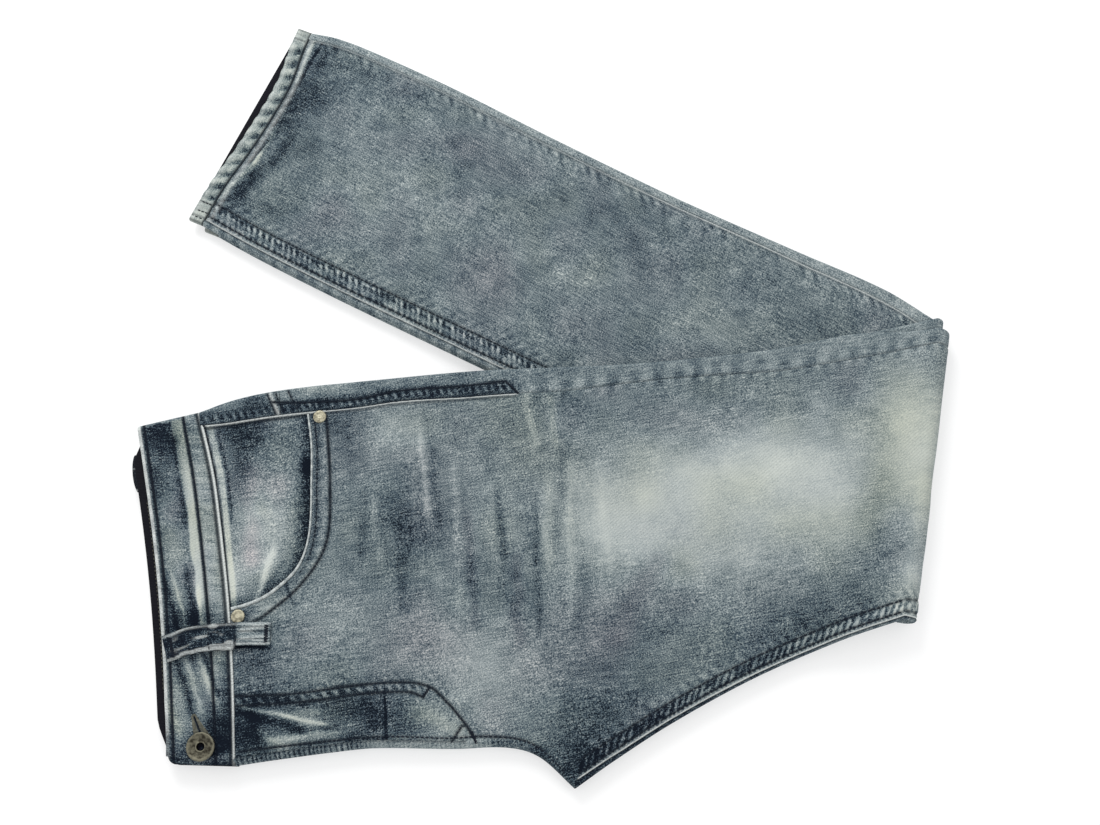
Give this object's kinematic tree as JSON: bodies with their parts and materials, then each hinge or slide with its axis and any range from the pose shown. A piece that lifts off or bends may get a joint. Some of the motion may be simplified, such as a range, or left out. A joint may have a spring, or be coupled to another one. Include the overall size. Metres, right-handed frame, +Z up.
{
  "type": "skinny jeans, folded",
  "caption": "Skinny jeans folded lengthwise and then under at the knee, lying flat on a surface.",
  "frame": {"origin": "middle of the folded jeans' box, on the surface they lie on", "axes": "+Z up out of the surface, +X from the waist to the knee fold, +Y from the fly to the side fold"},
  "size_m": [0.5366, 0.53, 0.0193],
  "materials": {
    "denim": "washed blue-grey denim with pale wear",
    "dark_denim": "unfaded inside of the denim",
    "aged_metal": "antique nickel-brass, worn"
  },
  "bodies": {
    "root": {"left_front": "denim", "right_front": "denim", "left_back": "denim", "right_back": "denim", "left_back_inseam": "denim", "right_back_inseam": "denim", "right_front_edge": "denim", "left_yoke": "denim", "right_yoke": "denim", "waistband": "denim", "pocket_facing": "denim", "belt_loop": "denim", "back_loop": "dark_denim", "left_hem": "denim", "right_hem": "denim", "hidden_layers": "dark_denim", "button": "aged_metal", "rivet_side": "aged_metal", "rivet_waist": "aged_metal"}
  },
  "joints": []
}
